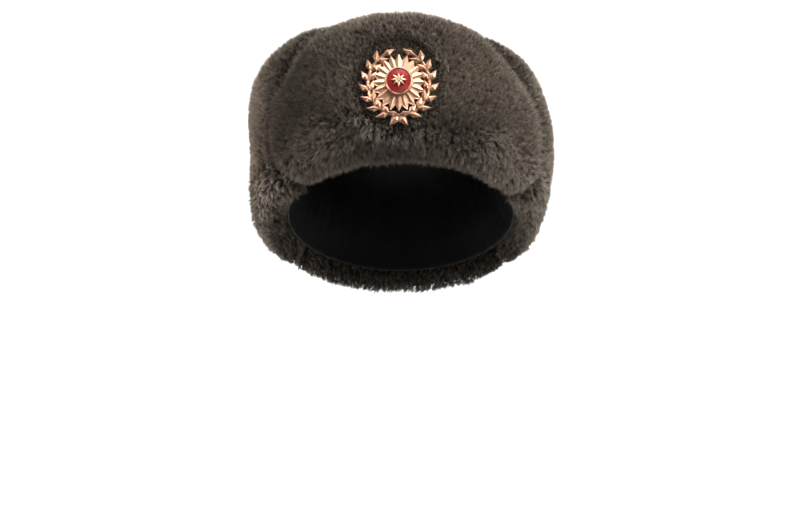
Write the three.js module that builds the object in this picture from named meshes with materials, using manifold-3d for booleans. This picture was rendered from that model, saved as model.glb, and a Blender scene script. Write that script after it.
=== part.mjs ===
// Fur hat with ear flaps, in millimetres, +Z up. It faces -Y, and +X is the wearer's left.
// It keeps the form it has on a head: tilted back, with the ear and nape flaps lower than the visor.
// The origin is the head's seat, the highest point inside the crown.
// Angles round the hat are in degrees from the front (0) over the wearer's left (90) to the back (180).
import * as THREE from "three";
import { mergeVertices } from "three/addons/utils/BufferGeometryUtils.js";
import Module from "manifold-3d";

// The head's hollow
const HEAD_BREADTH = 160; // inside the crown, above the ears
const HEAD_LENGTH = 200;
const RIM_FLARE_BREADTH = 19; // how far the rim stands out from the head at each side
const RIM_FLARE_LENGTH = 12;
const CROWN_DEPTH = 112; // rim plane to the top of the hollow
const WORN_TILT = 24.5; // degrees that the rim plane drops towards the nape
const FORWARD_SET = 0.2; // how far the hat stands forward of the rim plane's axis for each millimetre of height

// Walls and fits
const LINING_WALL = 2;
const CROWN_WALL = 14; // padding, cloth and pile
const SEAM_GAP = 0.4;
const FLAP_CLEARANCE = 0.9; // flap to crown
const CLEFT = 3; // between the edges of neighbouring flaps

// The turned-up flaps, to the skin that the locks of fur stand on
const HAT_BREADTH = 256;
const HAT_LENGTH = 284;
const FLAP_THICKNESS = 28;
const VISOR_DROP = 9; // how far the visor's fold hangs below the rim plane at its ends
const VISOR_ARCH = 3; // and how much higher its middle is
const FLAP_DROP = 13; // how far the folds of the ear flaps and nape flap hang
const VISOR_HEIGHT = 118;
const EAR_FLAP_HEIGHT = 122;
const NAPE_FLAP_HEIGHT = 100;
const EAR_FLAP_END = 124; // degrees, where an ear flap meets the nape flap
const VISOR_REACH = 110; // degrees of girth that the visor's locks are spaced over
const EAR_FLAP_REACH = 74;
const EDGE_ROUND = 15; // how far in from its fold or top edge a flap reaches its full thickness
const SIDE_ROUND = 9; // the same where the visor and an ear flap lie edge to edge
const SEAM_ROUND = 8; // and where two flaps are sewn together
const FOLD_MIDDLE = 0.5; // where a flap's edge lies in its thickness, from the crown out: at the fold
const EDGE_MIDDLE = 0.22; // and at its other edges

// Fur
const LOCK_PITCH = 13;
const LOCK_HEIGHT = 5;
const LOCK_LEAST = 0.7; // the lowest lock over LOCK_HEIGHT
const LOCK_RANGE = 0.6; // and how much more the highest has
const LOCK_JITTER = 0.3; // of a cell
const LOCK_LEAN = 0.3; // of a cell, at most
const LOCK_TURN = 0.75; // the locks lean down below this share of a flap's height
const EDGE_LOCKS = 1.3; // height over size for the small locks at the edges
const CROWN_SECTORS = 38;
const CROWN_SWIRL = 0.8; // how far the pile turns round the crown from ring to ring, of its jitter
const CROWN_LEAN = 0.1;
const CROWN_UNEVEN = 0.075; // how much the crown's rings waver, of their size

// The badge's place
const BADGE_ANGLE = -1; // degrees
const BADGE_RISE = 50.5; // its middle above the rim plane
const BADGE_SEAT = 3; // how deep the fur's skin is pressed in behind it
const BADGE_HALF_BREADTH = 32;
const BADGE_HALF_HEIGHT = 38;
const BADGE_GAP = 0.4;
const SEAT_FLAT = 1.2; // the seat is flat out to this many times the badge's half size
const SEAT_FADE = 1.55; // and ends here

// The badge's castings
const BADGE_PLATE = 1.2;
const BADGE_EDGE_SHARE = 0.6; // thickness of a leaf's or ray's edge over the plate's
const OVAL_STRETCH = 1.2; // height over breadth of the badge's round pieces
const OVAL_SIDES = 28;
const WREATH_RADIUS = 25;
const WREATH_BAND = 2.4;
const WREATH_SIDES = 36;
const WREATH_START = -72; // degrees from the right, at the knot
const WREATH_END = 59;
const WREATH_OPEN_SHARE = 0.75; // how much of the way between the last leaves the ring leaves open
const LEAF_LENGTH = 11.5;
const LEAF_BREADTH = 5.4;
const LEAF_RIDGE = 2.4;
const LEAF_WAIST_SHARE = 0.4; // where a leaf is broadest, of its length
const LEAF_PAIRS = 8;
const LEAF_SPREAD = 34; // degrees off the branch
const RAY_COUNT = 20;
const RAY_TIP = 22.5;
const RAY_NOTCH = 17.5;
const RAY_RISE = 2.6;
const RAY_RIDGE_SHARE = 1.6; // how much higher the rim is at a ray's tip than at a notch
const SETTING_WALL = 1.6;
const SETTING_RISE = 4;
const SETTING_LIP_SHARE = 0.7; // of the wall, at its top
const SETTING_FOOT = 1.6; // how deep the wall's outer foot stands in the rays
const POCKET_DEPTH = 0.8;
const ENAMEL_RADIUS = 9.5;
const ENAMEL_FIT = 0.3;
const ENAMEL_CROWNING = 1;
const ENAMEL_SUNK = 0.4; // its edge lies this far under the setting's
const ENAMEL_SHOULDER = { radius: 0.6, rise: 0.7 }; // shares of its radius and crowning
const PETALS = 8;
const PETAL_LENGTH = 6.4;
const PETAL_BREADTH = 2.6;
const PETAL_RIDGE = 1.3;
const HEART_RADIUS = 1.5; // the rosette's middle, at its foot
const HEART_TOP_SHARE = 0.8;
const HEART_RISE = 1.4;
const HEART_SIDES = 10;
const POST_RADIUS = 1.3;
const POST_LENGTH = 9;
const POST_CLEARANCE = 0.5;
const POST_SIDES = 12;

// The knot's leaves: degrees from the right, and shares of the wreath's leaves
const KNOT = [
  { angle: -128, length: 1.05, breadth: 1.25, ridge: 1.0 },
  { angle: -52, length: 1.05, breadth: 1.25, ridge: 1.0 },
  { angle: 164, length: 0.9, breadth: 1.0, ridge: 1.3 },
  { angle: 16, length: 0.9, breadth: 1.0, ridge: 1.3 },
];

// The hollow from the rim up: shares of the crown's depth, the rim's flare and the head's half sizes,
// and how much of the crown's wall stands outside it
const HOLLOW = [
  { height: 0.0, flare: 1.0, head: 1.0, wall: 0.2 },
  { height: 0.14, flare: 0.72, head: 1.0, wall: 0.55 },
  { height: 0.3, flare: 0.27, head: 1.0, wall: 0.9 },
  { height: 0.46, flare: 0.05, head: 1.0, wall: 1.0 },
  { height: 0.62, flare: 0.0, head: 0.985, wall: 1.05 },
  { height: 0.76, flare: 0.0, head: 0.925, wall: 1.3 },
  { height: 0.87, flare: 0.0, head: 0.8, wall: 1.6 },
  { height: 0.95, flare: 0.0, head: 0.58, wall: 1.45 },
  { height: 0.99, flare: 0.0, head: 0.3, wall: 1.15 },
  { height: 1.0, flare: 0.0, head: 0.0, wall: 1.0 },
];

// Where the dome's rings lie along the hollow's section. The crown starts at the second one, so that its lower
// edge stands a little above the lining's.
const RINGS = [0, 0.045, 0.13, 0.23, 0.35, 0.48, 0.6, 0.7, 0.79, 0.87, 0.945, 1];
const CROWN_FUR_FROM = 0.5; // share of the section, above which the crown has locks

// The outside of the ring of flaps: height as a share of the ear flaps', the rest as shares of half the hat's
// size
const OUTSIDE = [
  { height: -0.11, left: 0.885, right: 0.935, front: 0.95, back: 0.91 },
  { height: -0.02, left: 0.925, right: 0.98, front: 0.97, back: 0.945 },
  { height: 0.12, left: 0.97, right: 1.005, front: 0.985, back: 0.98 },
  { height: 0.3, left: 1.0, right: 1.0, front: 1.0, back: 1.0 },
  { height: 0.5, left: 1.015, right: 1.01, front: 1.005, back: 1.0 },
  { height: 0.7, left: 0.98, right: 1.02, front: 0.99, back: 0.985 },
  { height: 0.85, left: 0.945, right: 1.01, front: 0.965, back: 0.955 },
  { height: 1.0, left: 0.915, right: 0.985, front: 0.935, back: 0.92 },
];

// The visor's side edges, in degrees from the front, over shares of its height
const VISOR_EDGES = [
  { height: -0.09, left: 52, right: 41 },
  { height: 0.06, left: 65, right: 53 },
  { height: 0.28, left: 67, right: 58.5 },
  { height: 0.46, left: 61, right: 56 },
  { height: 0.64, left: 50, right: 48 },
  { height: 0.82, left: 37, right: 37 },
  { height: 1.0, left: 26, right: 27 },
];

// The visor's top edge, as a share of its height, from the wearer's right to the left
const VISOR_TOPS = [
  { along: 0.0, top: 0.98 },
  { along: 0.25, top: 1.0 },
  { along: 0.5, top: 1.005 },
  { along: 0.75, top: 0.99 },
  { along: 1.0, top: 0.95 },
];

// Ear flaps: the top edge as a share of their height, over shares of the way from the front edge to the back
const EAR_TOPS = [
  { along: 0.0, left: 0.935, right: 0.985 },
  { along: 0.25, left: 0.94, right: 1.0 },
  { along: 0.5, left: 0.945, right: 0.99 },
  { along: 0.75, left: 0.92, right: 0.93 },
  { along: 1.0, left: 0.86, right: 0.86 },
];

// The nape flap's top edge, as a share of its height, from the wearer's left to the right
const NAPE_TOPS = [
  { along: 0.0, top: 1.0 },
  { along: 0.2, top: 0.97 },
  { along: 0.5, top: 0.93 },
  { along: 0.8, top: 0.97 },
  { along: 1.0, top: 1.0 },
];

// Dents in the fur: where (degrees, share of the ear flaps' height), and depth and width as shares of a flap's
// thickness
const DENTS = [
  { angle: 46, height: 0.68, depth: 0.14, spread: 0.43 },
  { angle: 30, height: 0.2, depth: 0.12, spread: 0.79 },
  { angle: -46, height: 0.12, depth: 0.14, spread: 0.5 },
  { angle: -52, height: 0.7, depth: 0.17, spread: 0.6 },
  { angle: -96, height: 0.42, depth: 0.14, spread: 0.79 },
  { angle: 78, height: 0.2, depth: 0.16, spread: 0.5 },
  { angle: 150, height: 0.5, depth: 0.14, spread: 0.93 },
  { angle: -160, height: 0.3, depth: 0.12, spread: 0.86 },
];

const COLOURS = {
  fur: { color: 0x4a413b, roughness: 0.95, metalness: 0 },
  lining: { color: 0x0d0d0e, roughness: 0.6, metalness: 0 },
  metal: { color: 0xc98d63, roughness: 0.35, metalness: 0.9 },
  enamel: { color: 0xb01218, roughness: 0.2, metalness: 0 },
};

// How finely curves are followed
const TRACE_STEPS = 120; // the crown's outside
const SEAT_STEPS = 400; // the hollow's midline
const EDGE_STEPS = [0, 0.3]; // the rows in an edge's rounding, as shares of it
const CORNER_ROWS = 3; // rows from an edge that keep their places
const HASH = [12.9898, 78.233, 37.719, 43758.5453]; // spreads a place's numbers evenly

const radians = THREE.MathUtils.degToRad;
const wasm = await Module();
wasm.setup();

// A column of a table at a value of its key column, smooth between the rows
function read(rows, key, at, column) {
  const last = rows.length - 1;
  const x = THREE.MathUtils.clamp(at, rows[0][key], rows[last][key]);
  let i = 0;
  while (i < last - 1 && x > rows[i + 1][key]) i++;
  const slope = (k) => {
    const low = rows[Math.max(k - 1, 0)];
    const high = rows[Math.min(k + 1, last)];
    return (high[column] - low[column]) / (high[key] - low[key]);
  };
  const span = rows[i + 1][key] - rows[i][key];
  const t = (x - rows[i][key]) / span;
  const start = rows[i][column] + slope(i) * span * t;
  const end = rows[i + 1][column] - slope(i + 1) * span * (1 - t);
  return THREE.MathUtils.lerp(start, end, t * t * (3 - 2 * t));
}

// The same irregular number from 0 to 1 each time for a place in a grid
function scatter(i, j, seed) {
  const value = Math.sin(i * HASH[0] + j * HASH[1] + seed * HASH[2]) * HASH[3];
  return value - Math.floor(value);
}

// The same from minus a half to a half
function waver(i, j, seed) {
  return scatter(i, j, seed) - 0.5;
}

function lockHeight(i, j, seed) {
  return LOCK_HEIGHT * (LOCK_LEAST + LOCK_RANGE * scatter(i, j, seed));
}

// A closed surface, built face by face. Corners run anticlockwise seen from outside.
class Skin {
  constructor() {
    this.places = [];
    this.faces = [];
  }

  point(place) {
    this.places.push(place.x, place.y, place.z);
    return this.places.length / 3 - 1;
  }

  at(index) {
    return new THREE.Vector3().fromArray(this.places, index * 3);
  }

  face(a, b, c) {
    this.faces.push(a, b, c);
  }

  quad(a, b, c, d) {
    this.face(a, b, c);
    this.face(a, c, d);
  }

  // A lock of fur: the four-sided cell a, b, c, d (c and d are its upper corners) drawn out to a leaning tip
  lock(a, b, c, d, height, lean) {
    const [pa, pb, pc, pd] = [a, b, c, d].map((k) => this.at(k));
    const out = pc.clone().sub(pa).cross(pd.clone().sub(pb)).normalize();
    const up = pc.clone().add(pd).sub(pa).sub(pb).divideScalar(2);
    const across = pb.clone().add(pc).sub(pa).sub(pd).divideScalar(2);
    const tip = pa.add(pb).add(pc).add(pd).divideScalar(4);
    tip.addScaledVector(out, height).addScaledVector(up, lean.up).addScaledVector(across, lean.across);
    const t = this.point(tip);
    for (const [from, to] of [[a, b], [b, c], [c, d], [d, a]]) this.face(from, to, t);
  }

  geometry() {
    return new THREE.BufferGeometry()
      .setAttribute("position", new THREE.Float32BufferAttribute(this.places, 3))
      .setIndex(this.faces);
  }
}

// A point on an oval of two half sizes, at an angle round the hat
function onOval(halfBreadth, halfLength, angle, height) {
  const a = radians(angle);
  return new THREE.Vector3(halfBreadth * Math.sin(a), -halfLength * Math.cos(a) - FORWARD_SET * height, height);
}

// The hollow's section as a curve through (half breadth, half length, height)
const hollowCurve = new THREE.CatmullRomCurve3(
  HOLLOW.map(({ height, flare, head }) => new THREE.Vector3(
    (HEAD_BREADTH / 2) * head + RIM_FLARE_BREADTH * flare,
    (HEAD_LENGTH / 2) * head + RIM_FLARE_LENGTH * flare,
    CROWN_DEPTH * height,
  )),
  false,
  "centripetal",
);

// A point of the hollow's section moved out through the wall: half breadth, half length and height
function section(share, outwards) {
  const place = hollowCurve.getPointAt(share);
  const along = hollowCurve.getTangentAt(share);
  const spread = (along.x + along.y) / 2;
  const length = Math.hypot(spread, along.z);
  const sideways = share < 1 ? (along.z / length) * outwards : 0;
  const rise = share < 1 ? (-spread / length) * outwards : outwards;
  return new THREE.Vector3(place.x + sideways, place.y + sideways, place.z + rise);
}

const crownInside = LINING_WALL + SEAM_GAP;
const crownWallAt = (share) => {
  const height = hollowCurve.getPointAt(share).z / CROWN_DEPTH;
  return CROWN_WALL * read(HOLLOW, "height", height, "wall");
};
const crownOutside = (share) => section(share, crownInside + crownWallAt(share));

// The crown's outside at a height above the rim plane: half breadth and half length
const crownTrace = Array.from({ length: TRACE_STEPS + 1 }, (_, k) => (
  crownOutside(THREE.MathUtils.lerp(RINGS[1], 1, k / TRACE_STEPS))
));
function crownAt(height) {
  let i = 0;
  while (i < TRACE_STEPS - 1 && crownTrace[i + 1].z < height) i++;
  const [low, high] = [crownTrace[i], crownTrace[i + 1]];
  const t = THREE.MathUtils.clamp((height - low.z) / (high.z - low.z), 0, 1);
  return low.clone().lerp(high, t);
}

// A dome with a wall, closed at its rim: inner and outer are functions of the share of the section, and the
// outside has locks above the share furFrom
function dome({ shares, inner, outer, furFrom, seed }) {
  const skin = new Skin();
  const below = shares.slice(0, -1);
  const bare = below.filter((s) => s < furFrom).length;
  const ring = (place, row) => Array.from({ length: CROWN_SECTORS }, (_, i) => {
    const furred = row > bare;
    const twist = furred ? LOCK_JITTER * ((row - bare) * CROWN_SWIRL + waver(i, row, seed + 2)) : 0;
    const reach = furred ? 1 + CROWN_UNEVEN * waver(i, row, seed + 3) : 1;
    return skin.point(onOval(place.x * reach, place.y * reach, (360 * (i + twist)) / CROWN_SECTORS, place.z));
  });
  const outside = below.map((s, j) => ring(outer(s), j));
  const inside = below.map((s) => ring(inner(s), 0));
  const top = skin.point(onOval(0, 0, 0, outer(1).z));
  const ceiling = skin.point(onOval(0, 0, 0, inner(1).z));
  const high = below.length - 1;
  for (let i = 0; i < CROWN_SECTORS; i++) {
    const n = (i + 1) % CROWN_SECTORS;
    skin.quad(outside[0][n], outside[0][i], inside[0][i], inside[0][n]);
    for (let j = 0; j < high; j++) {
      const corners = [outside[j][i], outside[j][n], outside[j + 1][n], outside[j + 1][i]];
      const lean = { up: -CROWN_LEAN, across: LOCK_JITTER * waver(i, j, seed) };
      if (j >= bare) skin.lock(...corners, lockHeight(i, j, seed + 1), lean);
      else skin.quad(...corners);
      skin.quad(inside[j][i], inside[j + 1][i], inside[j + 1][n], inside[j][n]);
    }
    skin.face(outside[high][i], outside[high][n], top);
    skin.face(inside[high][n], inside[high][i], ceiling);
  }
  return skin.geometry();
}

// Distances from 0 to a length, close together where the edges round off and a lock's pitch apart between them
function stations(length, startRound, endRound) {
  const middle = length - startRound - endRound;
  const cells = Math.max(1, Math.round(middle / LOCK_PITCH));
  return [
    ...EDGE_STEPS.map((share) => share * startRound),
    ...Array.from({ length: cells + 1 }, (_, k) => startRound + (middle * k) / cells),
    ...EDGE_STEPS.map((share) => length - share * endRound).reverse(),
  ];
}

// How full a flap is at a distance from one of its edges: a quarter round
function fullness(distance, round) {
  const t = Math.min(distance / round, 1);
  return Math.sqrt(Math.max(0, 1 - (1 - t) ** 2));
}

// How deep the dents are at an angle and height on the outside
function dentAt(angle, height) {
  return DENTS.reduce((sum, dent) => {
    const turn = THREE.MathUtils.euclideanModulo(angle - dent.angle + 180, 360) - 180;
    const across = radians(turn) * (HAT_BREADTH + HAT_LENGTH) / 4;
    const up = height - dent.height * EAR_FLAP_HEIGHT;
    const reach = dent.spread * FLAP_THICKNESS;
    return sum + dent.depth * FLAP_THICKNESS * Math.exp(-(across ** 2 + up ** 2) / reach ** 2);
  }, 0);
}

// The outside of the ring of flaps at an angle and height: half breadth and half length
function outsideAt(angle, height) {
  const share = height / EAR_FLAP_HEIGHT;
  const column = (name) => read(OUTSIDE, "height", share, name);
  const side = (1 + Math.sin(radians(angle))) / 2;
  const end = (1 + Math.cos(radians(angle))) / 2;
  const dent = dentAt(angle, height);
  return {
    breadth: (HAT_BREADTH / 2) * THREE.MathUtils.lerp(column("right"), column("left"), side) - dent,
    length: (HAT_LENGTH / 2) * THREE.MathUtils.lerp(column("back"), column("front"), end) - dent,
  };
}

// The badge's seat: a flat that the visor's skin is pressed to
const badgeSide = outsideAt(BADGE_ANGLE, BADGE_RISE);
const badgePlace = onOval(badgeSide.breadth, badgeSide.length - BADGE_SEAT, BADGE_ANGLE, BADGE_RISE);
const seatSlope = (outsideAt(BADGE_ANGLE, BADGE_RISE + BADGE_HALF_HEIGHT).length
  - outsideAt(BADGE_ANGLE, BADGE_RISE - BADGE_HALF_HEIGHT).length) / (2 * BADGE_HALF_HEIGHT);
const badgeOut = new THREE.Vector3(Math.sin(radians(BADGE_ANGLE)), -1, -seatSlope).normalize();

// How much of a point lies behind the badge, from 0 to 1
function behindBadge(place) {
  const way = place.clone().sub(badgePlace);
  const reach = Math.hypot(way.x / BADGE_HALF_BREADTH, way.z / BADGE_HALF_HEIGHT);
  return 1 - THREE.MathUtils.smoothstep(reach, SEAT_FLAT, SEAT_FADE);
}

function pressToSeat(place) {
  const proud = place.clone().sub(badgePlace).dot(badgeOut);
  return place.addScaledVector(badgeOut, -proud * behindBadge(place));
}

// A turned-up flap: a padded wall with a fur outside. startAt and endAt give its side edges in degrees at a
// height, topAt the height of its top edge and dropAt how far its fold hangs at a share of the way along.
function flap({ startAt, endAt, topAt, dropAt, startRound, endRound, length, seed, seat }) {
  const skin = new Skin();
  const alongs = stations(length, startRound, endRound);
  const height = topAt(0.5) + dropAt(0.5);
  const ups = stations(height, EDGE_ROUND, EDGE_ROUND);
  const columns = alongs.length - 1;
  const rows = ups.length - 1;
  const fromEdge = (i, j) => Math.min(i, j, columns - i, rows - j);
  const outside = [];
  const inside = [];
  for (let i = 0; i <= columns; i++) {
    outside.push([]);
    inside.push([]);
    for (let j = 0; j <= rows; j++) {
      const jitter = fromEdge(i, j) < CORNER_ROWS ? 0 : LOCK_JITTER * LOCK_PITCH;
      const along = alongs[i] + jitter * waver(i, j, seed);
      const up = ups[j] + jitter * waver(i, j, seed + 1);
      const share = along / length;
      const z = THREE.MathUtils.lerp(-dropAt(share), topAt(share), up / height);
      const angle = THREE.MathUtils.lerp(startAt(z), endAt(z), share);
      const full = Math.min(fullness(up, EDGE_ROUND), fullness(height - up, EDGE_ROUND))
        * Math.min(fullness(along, startRound), fullness(length - along, endRound));
      const out = outsideAt(angle, z);
      const crown = crownAt(z);
      const near = {
        breadth: Math.max(crown.x + FLAP_CLEARANCE, out.breadth - FLAP_THICKNESS),
        length: Math.max(crown.y + FLAP_CLEARANCE, out.length - FLAP_THICKNESS),
      };
      const place = (depth) => onOval(
        THREE.MathUtils.lerp(near.breadth, out.breadth, depth),
        THREE.MathUtils.lerp(near.length, out.length, depth),
        angle,
        z,
      );
      const middle = THREE.MathUtils.lerp(FOLD_MIDDLE, EDGE_MIDDLE, Math.min(up / (2 * EDGE_ROUND), 1));
      const outer = place(THREE.MathUtils.lerp(middle, 1, full));
      outside[i].push(skin.point(seat ? pressToSeat(outer) : outer));
      inside[i].push(fromEdge(i, j) ? skin.point(place(middle * (1 - full))) : outside[i][j]);
    }
  }
  for (let i = 0; i < columns; i++) {
    for (let j = 0; j < rows; j++) {
      const corners = [outside[i][j], outside[i + 1][j], outside[i + 1][j + 1], outside[i][j + 1]];
      const middle = skin.at(corners[0]).add(skin.at(corners[2])).divideScalar(2);
      const cell = Math.min(alongs[i + 1] - alongs[i], ups[j + 1] - ups[j]) / LOCK_PITCH;
      const bare = seat ? behindBadge(middle) : 0;
      const tall = lockHeight(i, j, seed + 2) * Math.min(1, EDGE_LOCKS * cell) * (1 - bare);
      const lean = { up: LOCK_LEAN * (j / rows - LOCK_TURN), across: LOCK_JITTER * waver(i, j, seed + 3) };
      if (bare > 0.5) skin.quad(...corners);
      else skin.lock(...corners, tall, lean);
      skin.quad(inside[i][j], inside[i][j + 1], inside[i + 1][j + 1], inside[i + 1][j]);
    }
  }
  return skin.geometry();
}

// Solids for cutting and joining
function solid(geometry) {
  const bare = geometry.index ? geometry.toNonIndexed() : geometry.clone();
  bare.deleteAttribute("normal");
  bare.deleteAttribute("uv");
  const merged = mergeVertices(bare, 1e-4);
  return new wasm.Manifold(new wasm.Mesh({
    numProp: 3,
    vertProperties: merged.attributes.position.array,
    triVerts: new Uint32Array(merged.index.array),
  }));
}

function surface(made) {
  const { numProp, numVert, vertProperties, triVerts } = made.getMesh();
  const places = new Float32Array(numVert * 3);
  for (let i = 0; i < numVert; i++) places.set(vertProperties.subarray(i * numProp, i * numProp + 3), i * 3);
  return new THREE.BufferGeometry()
    .setAttribute("position", new THREE.BufferAttribute(places, 3))
    .setIndex(new THREE.BufferAttribute(triVerts, 1));
}

// A mesh of the hat, in its own material
function piece(name, geometry, finish) {
  const material = new THREE.MeshStandardMaterial({ ...COLOURS[finish], flatShading: true });
  const mesh = new THREE.Mesh(geometry, material);
  mesh.name = name;
  return mesh;
}

function makeLining() {
  return piece("lining", dome({
    shares: RINGS,
    inner: (s) => section(s, 0),
    outer: (s) => section(s, LINING_WALL),
    furFrom: 1,
    seed: 1,
  }), "lining");
}

function makeCrown() {
  return piece("crown", dome({
    shares: RINGS.slice(1),
    inner: (s) => section(s, crownInside),
    outer: crownOutside,
    furFrom: CROWN_FUR_FROM,
    seed: 5,
  }), "fur");
}

const visorEdge = (z, side) => read(VISOR_EDGES, "height", z / VISOR_HEIGHT, side);
const cleftAngle = THREE.MathUtils.radToDeg(CLEFT / ((HAT_BREADTH - FLAP_THICKNESS) / 2));

function makeVisor(badge) {
  const geometry = flap({
    startAt: (z) => -visorEdge(z, "right"),
    endAt: (z) => visorEdge(z, "left"),
    topAt: (along) => VISOR_HEIGHT * read(VISOR_TOPS, "along", along, "top"),
    dropAt: (along) => VISOR_DROP - VISOR_ARCH * Math.sin(Math.PI * along),
    startRound: SIDE_ROUND,
    endRound: SIDE_ROUND,
    length: radians(VISOR_REACH) * (HAT_LENGTH / 2),
    seed: 11,
    seat: true,
  });
  return piece("visor", surface(solid(geometry).subtract(solid(badge.postHole()))), "fur");
}

function makeEarFlap(side) {
  const left = side === "left";
  const front = (z) => visorEdge(z, side) + cleftAngle;
  const geometry = flap({
    startAt: left ? front : () => -EAR_FLAP_END,
    endAt: left ? () => EAR_FLAP_END : (z) => -front(z),
    topAt: (along) => EAR_FLAP_HEIGHT * read(EAR_TOPS, "along", left ? along : 1 - along, side),
    dropAt: () => FLAP_DROP,
    startRound: left ? SIDE_ROUND : SEAM_ROUND,
    endRound: left ? SEAM_ROUND : SIDE_ROUND,
    length: radians(EAR_FLAP_REACH) * (HAT_BREADTH / 2),
    seed: left ? 23 : 31,
    seat: false,
  });
  return piece("ear_flap_" + side, geometry, "fur");
}

function makeNapeFlap() {
  const edge = EAR_FLAP_END + cleftAngle / 2;
  const geometry = flap({
    startAt: () => edge,
    endAt: () => 360 - edge,
    topAt: (along) => NAPE_FLAP_HEIGHT * read(NAPE_TOPS, "along", along, "top"),
    dropAt: () => FLAP_DROP,
    startRound: SEAM_ROUND,
    endRound: SEAM_ROUND,
    length: radians(360 - 2 * EAR_FLAP_END) * (HAT_LENGTH / 2),
    seed: 47,
    seat: false,
  });
  return piece("nape_flap", geometry, "fur");
}

// The badge is made in its own frame: X right, Y up, Z towards the viewer, back face at Z 0

// A ridged leaf from its foot, pointing at an angle
function leaf({ foot, angle, length, breadth, base, ridge }) {
  const skin = new Skin();
  const turn = radians(angle);
  const at = (along, across, z) => skin.point(new THREE.Vector3(
    foot.x + along * Math.cos(turn) - across * Math.sin(turn),
    foot.y + along * Math.sin(turn) + across * Math.cos(turn),
    z,
  ));
  const waist = LEAF_WAIST_SHARE * length;
  const outline = [[0, 0], [waist, -breadth / 2], [length, 0], [waist, breadth / 2]];
  const low = outline.map(([x, y]) => at(x, y, base));
  const high = outline.map(([x, y]) => at(x, y, base + BADGE_PLATE * BADGE_EDGE_SHARE));
  const crest = at(waist, 0, base + ridge);
  outline.forEach((_, i) => {
    const n = (i + 1) % outline.length;
    skin.quad(low[i], low[n], high[n], high[i]);
    skin.face(high[i], high[n], crest);
  });
  skin.quad(low[0], low[3], low[2], low[1]);
  return solid(skin.geometry());
}

// A sunburst of ridged rays
function sunburst() {
  const skin = new Skin();
  const rim = (height, ridge) => Array.from({ length: 2 * RAY_COUNT }, (_, k) => {
    const turn = (Math.PI * k) / RAY_COUNT;
    const radius = k % 2 ? RAY_NOTCH : RAY_TIP;
    const z = k % 2 ? height : height * ridge;
    return skin.point(new THREE.Vector3(radius * Math.cos(turn), radius * OVAL_STRETCH * Math.sin(turn), z));
  });
  const high = rim(BADGE_PLATE * BADGE_EDGE_SHARE, RAY_RIDGE_SHARE);
  const low = rim(0, 1);
  const top = skin.point(new THREE.Vector3(0, 0, RAY_RISE));
  const foot = skin.point(new THREE.Vector3(0, 0, 0));
  high.forEach((_, k) => {
    const n = (k + 1) % high.length;
    skin.face(high[k], high[n], top);
    skin.quad(low[k], low[n], high[n], high[k]);
    skin.face(low[n], low[k], foot);
  });
  return solid(skin.geometry());
}

// A ring or disc turned about Z from a closed profile of [radius, height] and stretched to an oval
function turned(profile, sides) {
  const points = profile.map(([radius, height]) => new THREE.Vector2(radius, height));
  const geometry = new THREE.LatheGeometry(points, sides).rotateX(Math.PI / 2);
  return solid(geometry.scale(1, OVAL_STRETCH, 1));
}

const wreathLeaf = { length: LEAF_LENGTH, breadth: LEAF_BREADTH, base: 0, ridge: LEAF_RIDGE };

// A ring, open at the top, with pairs of leaves along it, up both sides from the knot
function wreath() {
  const opening = new THREE.BoxGeometry(
    2 * WREATH_RADIUS * Math.cos(radians(WREATH_END)) * WREATH_OPEN_SHARE,
    WREATH_RADIUS,
    4 * BADGE_PLATE,
  );
  const ring = turned([
    [WREATH_RADIUS - WREATH_BAND / 2, 0],
    [WREATH_RADIUS + WREATH_BAND / 2, 0],
    [WREATH_RADIUS, BADGE_PLATE],
    [WREATH_RADIUS - WREATH_BAND / 2, 0],
  ], WREATH_SIDES).subtract(solid(opening.translate(0, OVAL_STRETCH * WREATH_RADIUS, 0)));
  const leaves = [1, -1].flatMap((side) => Array.from({ length: LEAF_PAIRS }, (_, k) => {
    const angle = THREE.MathUtils.lerp(WREATH_START, WREATH_END, k / (LEAF_PAIRS - 1));
    const foot = {
      x: side * WREATH_RADIUS * Math.cos(radians(angle)),
      y: OVAL_STRETCH * WREATH_RADIUS * Math.sin(radians(angle)),
    };
    const spreads = k === LEAF_PAIRS - 1 ? [0] : [LEAF_SPREAD, -LEAF_SPREAD];
    return spreads.map((spread) => {
      const along = angle + 90 + spread;
      return leaf({ ...wreathLeaf, foot, angle: side > 0 ? along : 180 - along });
    });
  }).flat());
  return [ring, ...leaves];
}

// The ribbon's knot and its tails, under the wreath
function knot() {
  return KNOT.map(({ angle, length, breadth, ridge }) => leaf({
    foot: { x: 0, y: -OVAL_STRETCH * WREATH_RADIUS },
    angle,
    length: LEAF_LENGTH * length,
    breadth: LEAF_BREADTH * breadth,
    base: 0,
    ridge: LEAF_RIDGE * ridge,
  }));
}

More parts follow.
